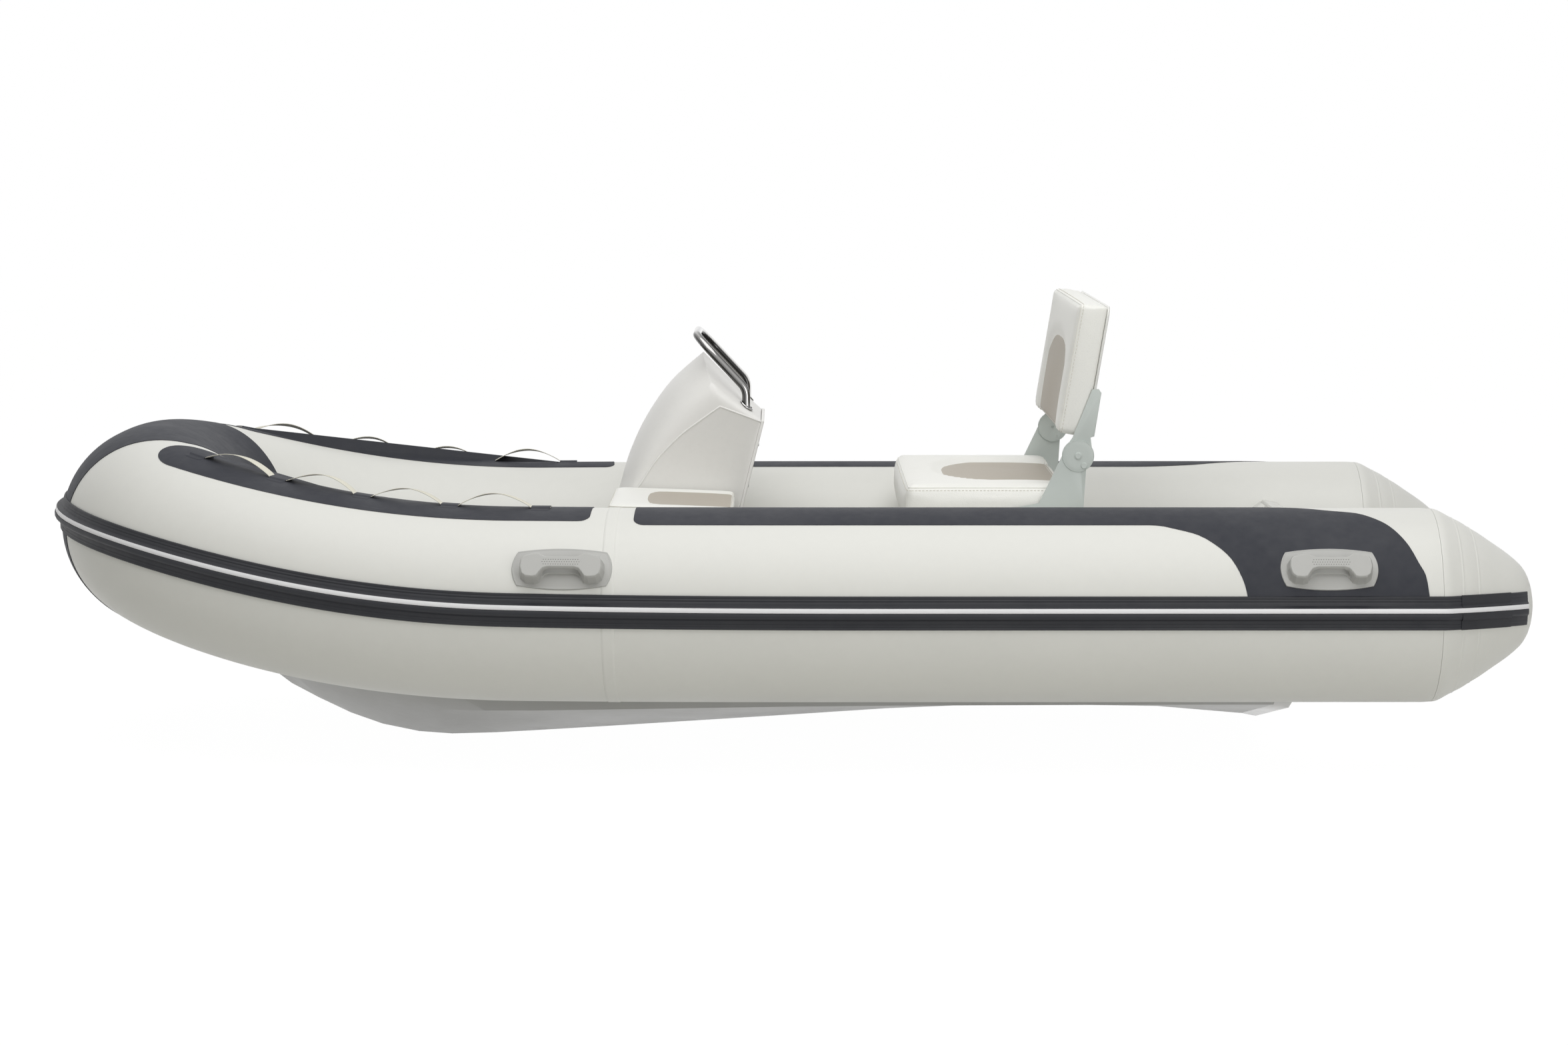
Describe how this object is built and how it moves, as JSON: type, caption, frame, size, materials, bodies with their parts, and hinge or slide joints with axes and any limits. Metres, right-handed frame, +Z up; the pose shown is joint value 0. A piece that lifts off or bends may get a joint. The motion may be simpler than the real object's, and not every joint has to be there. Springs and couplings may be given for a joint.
{
  "type": "rigid inflatable boat",
  "caption": "Small rigid inflatable boat: V hull, U-shaped buoyancy tube with rub strake, offset console, side seat, helm bench with folding back, bow locker and raked transom.",
  "frame": {"origin": "centre of the bounding box's base, under the keel", "axes": "the bow points along -X, starboard is +Y, up is +Z"},
  "size_m": [3.5085, 1.7478, 1.0881],
  "materials": {
    "ivory_fabric": "satin coated fabric",
    "grey_fabric": "satin coated fabric",
    "strake_rubber": "satin",
    "white_rubber": "satin",
    "webbing": "woven",
    "handle_rubber": "matte moulded",
    "hull_gelcoat": "gloss gelcoat",
    "white_gelcoat": "gloss gelcoat",
    "white_vinyl": "grained vinyl",
    "taupe_vinyl": "grained vinyl",
    "bracket_paint": "satin",
    "rail_chrome": "polished",
    "steel": "brushed",
    "dark_plastic": "matte",
    "white_plastic": "matte"
  },
  "bodies": {
    "boat": {"bench_board": "white_gelcoat", "bench_box": "white_gelcoat", "bench_cushion": "white_vinyl", "bench_insert": "taupe_vinyl", "bow_eye": "steel", "bow_locker": "white_gelcoat", "bow_nose_panel": "grey_fabric", "bow_tube_chamber": "ivory_fabric", "bow_underside_panel": "grey_fabric", "bow_valve_body": "white_plastic", "console_aft_panel": "white_gelcoat", "console_handrail": "rail_chrome", "console_shell": "white_gelcoat", "deck": "white_gelcoat", "drain_flange": "white_plastic", "hull": "hull_gelcoat", "inner_motor_pad": "dark_plastic", "locker_hinge_leaf": "steel", "outer_motor_pad": "dark_plastic", "port_aft_handle_base": "handle_rubber", "port_aft_handle_grip": "handle_rubber", "port_aft_side_panel": "grey_fabric", "port_fore_handle_base": "handle_rubber", "port_fore_handle_grip": "handle_rubber", "port_fore_top_strip": "grey_fabric", "port_grab_webbing": "webbing", "port_lower_bracket": "bracket_paint", "port_pivot_rivet": "steel", "port_stern_cone": "ivory_fabric", "port_tube_chamber": "ivory_fabric", "port_valve_body": "white_plastic", "rub_strake": "strake_rubber", "side_seat_base": "white_gelcoat", "side_seat_cushion": "white_vinyl", "side_seat_insert": "taupe_vinyl", "starboard_aft_handle_base": "handle_rubber", "starboard_aft_handle_grip": "handle_rubber", "starboard_aft_side_panel": "grey_fabric", "starboard_fore_handle_base": "handle_rubber", "starboard_fore_handle_grip": "handle_rubber", "starboard_fore_top_strip": "grey_fabric", "starboard_grab_webbing": "webbing", "starboard_lower_bracket": "bracket_paint", "starboard_pivot_rivet": "steel", "starboard_stern_cone": "ivory_fabric", "starboard_tube_chamber": "ivory_fabric", "starboard_valve_body": "white_plastic", "strake_stripe": "white_rubber", "transom": "white_gelcoat"},
    "seat_back": {"back_cushion": "white_vinyl", "back_insert": "taupe_vinyl", "back_board": "white_gelcoat", "port_upper_bracket": "bracket_paint", "starboard_upper_bracket": "bracket_paint"},
    "locker_lid": {"bow_locker_lid": "white_gelcoat", "lid_hinge_knuckle": "steel"},
    "port_cap": {"port_valve_cap": "dark_plastic"},
    "starboard_cap": {"starboard_valve_cap": "dark_plastic"},
    "bow_cap": {"bow_valve_cap": "dark_plastic"},
    "plug": {"drain_plug": "dark_plastic"}
  },
  "joints": [
    {"name": "seat_back_fold", "type": "hinge", "parent": "boat", "child": "seat_back", "pos_m": [0.714, 0, 0.729], "axis": [0, -1, 0], "range_deg": [0, 99.5]},
    {"name": "locker_lid_hinge", "type": "hinge", "parent": "boat", "child": "locker_lid", "pos_m": [-1.17, 0, 0.4758], "axis": [0, -1, 0], "range_deg": [0, 95]},
    {"name": "port_cap_turn", "type": "hinge", "parent": "boat", "child": "port_cap", "pos_m": [0.9, -0.40592, 0.45637], "axis": [0, 0.9659, 0.2588], "range_deg": [0, 180]},
    {"name": "starboard_cap_turn", "type": "hinge", "parent": "boat", "child": "starboard_cap", "pos_m": [0.9, 0.40592, 0.45637], "axis": [0, -0.9659, 0.2588], "range_deg": [0, 180]},
    {"name": "bow_cap_turn", "type": "hinge", "parent": "boat", "child": "bow_cap", "pos_m": [-0.5964, -0.38213, 0.45667], "axis": [0.0895, 0.9616, 0.2595], "range_deg": [0, 180]},
    {"name": "drain_plug_turn", "type": "hinge", "parent": "boat", "child": "plug", "pos_m": [1.18688, -0.12, 0.215], "axis": [0.9816, 0, -0.1908], "range_deg": [0, 180]}
  ]
}
